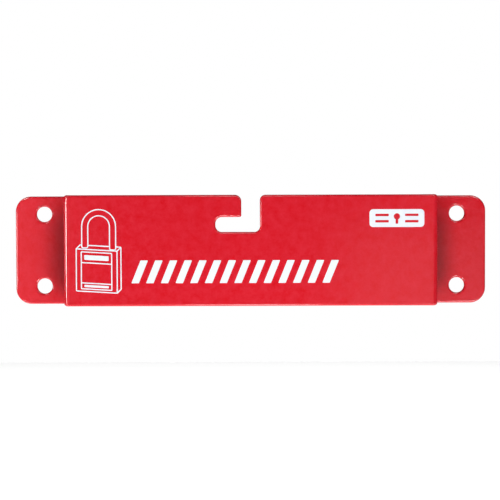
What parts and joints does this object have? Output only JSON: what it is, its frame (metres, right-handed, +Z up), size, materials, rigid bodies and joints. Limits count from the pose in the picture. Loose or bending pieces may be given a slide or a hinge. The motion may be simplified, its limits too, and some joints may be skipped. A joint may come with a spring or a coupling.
{
  "type": "wall bracket",
  "caption": "Red wall bracket folded from one steel strip: raised face with an L-shaped hanging slot in its top edge, drilled fixing ears and plain white printed marks.",
  "frame": {"origin": "centre of the rectangle of fixing holes, on the wall plane that the ears' back faces lie on", "axes": "+X along the strip, to the right as seen from the front; +Y into the wall, so the raised face looks towards -Y; +Z up, towards the slot's mouth"},
  "size_m": [0.262, 0.0201, 0.06],
  "materials": {
    "red_powder_coat": "gloss red polyester powder coat on steel, smooth with a faint orange peel",
    "white_ink": "screen-printed white ink, satin"
  },
  "bodies": {
    "root": {"bracket": "red_powder_coat", "pictogram_shackle_print": "white_ink", "pictogram_case_print": "white_ink", "pictogram_label_print": "white_ink", "stripe_band_print": "white_ink", "badge_print": "white_ink"}
  },
  "joints": []
}
